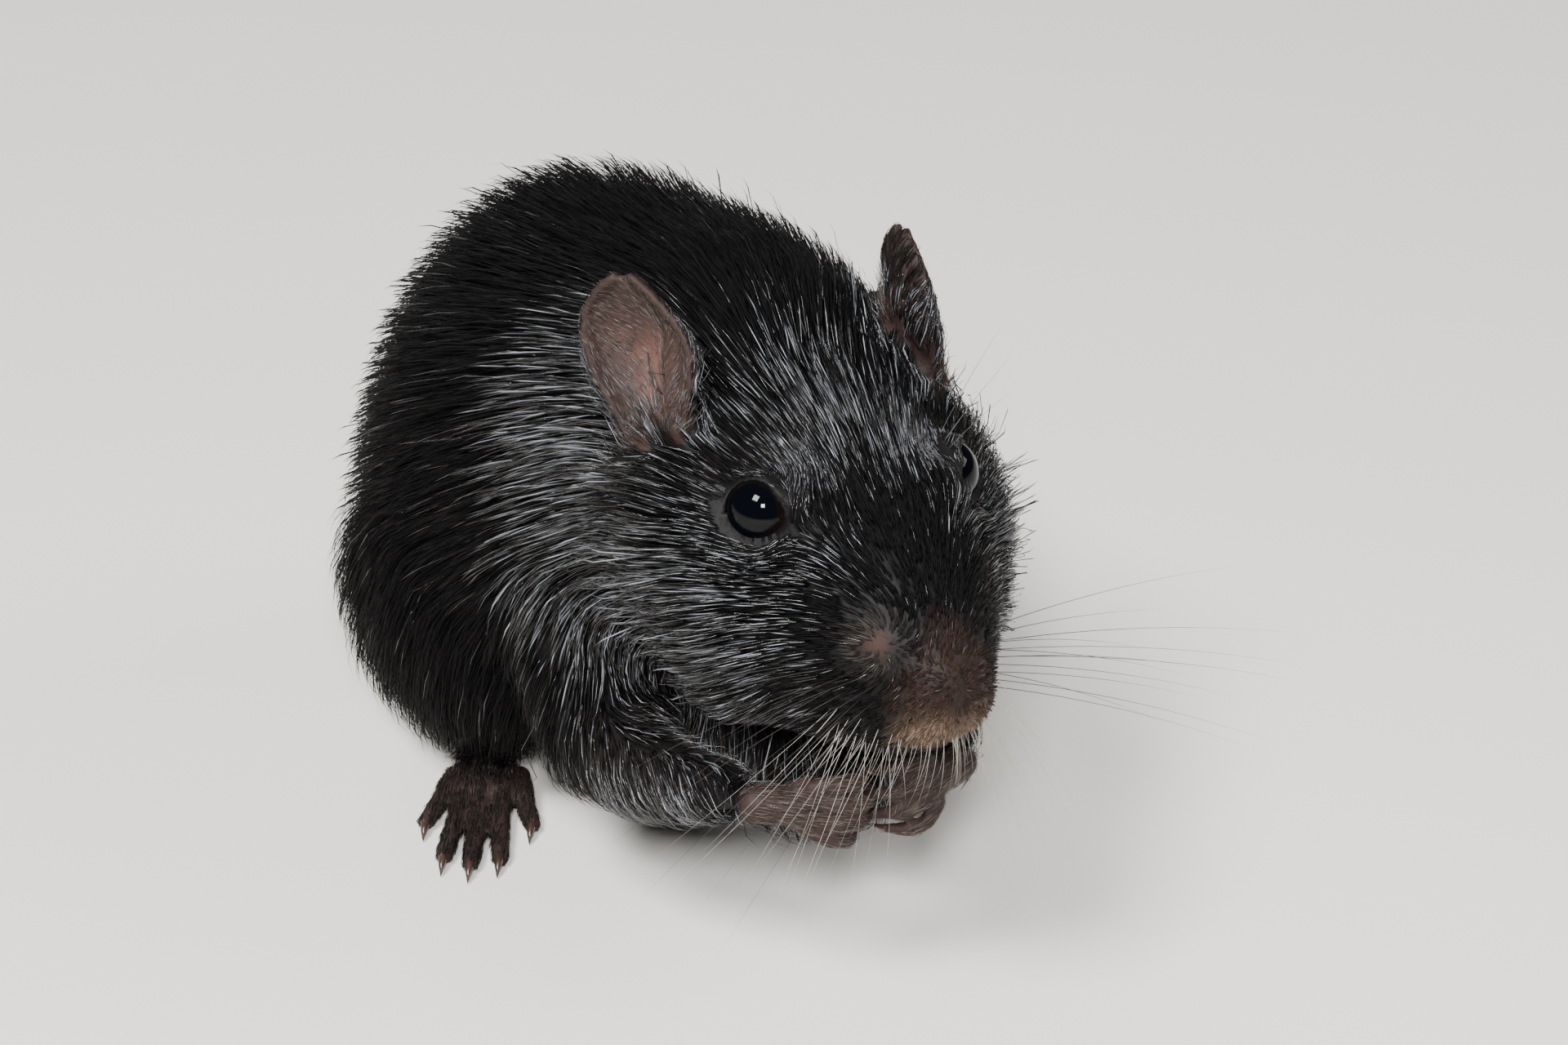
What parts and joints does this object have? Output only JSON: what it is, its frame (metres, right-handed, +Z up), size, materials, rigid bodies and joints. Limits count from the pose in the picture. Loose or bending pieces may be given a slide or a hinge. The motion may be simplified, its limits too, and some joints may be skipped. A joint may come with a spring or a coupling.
{
  "type": "gerbil",
  "caption": "Life-size still model of a solid black Mongolian gerbil hunched on its hind feet, forepaws held together under its mouth, furred tail curled on the floor.",
  "frame": {"origin": "on the floor, under the middle of the bounding box", "axes": "+Z up, the animal's trunk faces -Y and its own left side is +X"},
  "size_m": [0.0718, 0.1032, 0.0547],
  "materials": {
    "black_fur": "glossy short fur",
    "bare_skin": "matt, sparsely haired skin",
    "wet_eye": "wet, highly polished"
  },
  "bodies": {
    "root": {"trunk": "black_fur", "neck": "black_fur", "head": "black_fur", "lower_jaw": "black_fur", "upper_arm_right": "black_fur", "upper_arm_left": "black_fur", "forearm_right": "black_fur", "forearm_left": "black_fur", "thigh_right": "black_fur", "thigh_left": "black_fur", "tail_base": "black_fur", "tail_middle": "black_fur", "tail_tip": "black_fur", "nose": "bare_skin", "ear_right": "bare_skin", "ear_left": "bare_skin", "hand_right": "bare_skin", "hand_left": "bare_skin", "hind_foot_right": "bare_skin", "hind_foot_left": "bare_skin", "eye_right": "wet_eye", "eye_left": "wet_eye"}
  },
  "joints": []
}
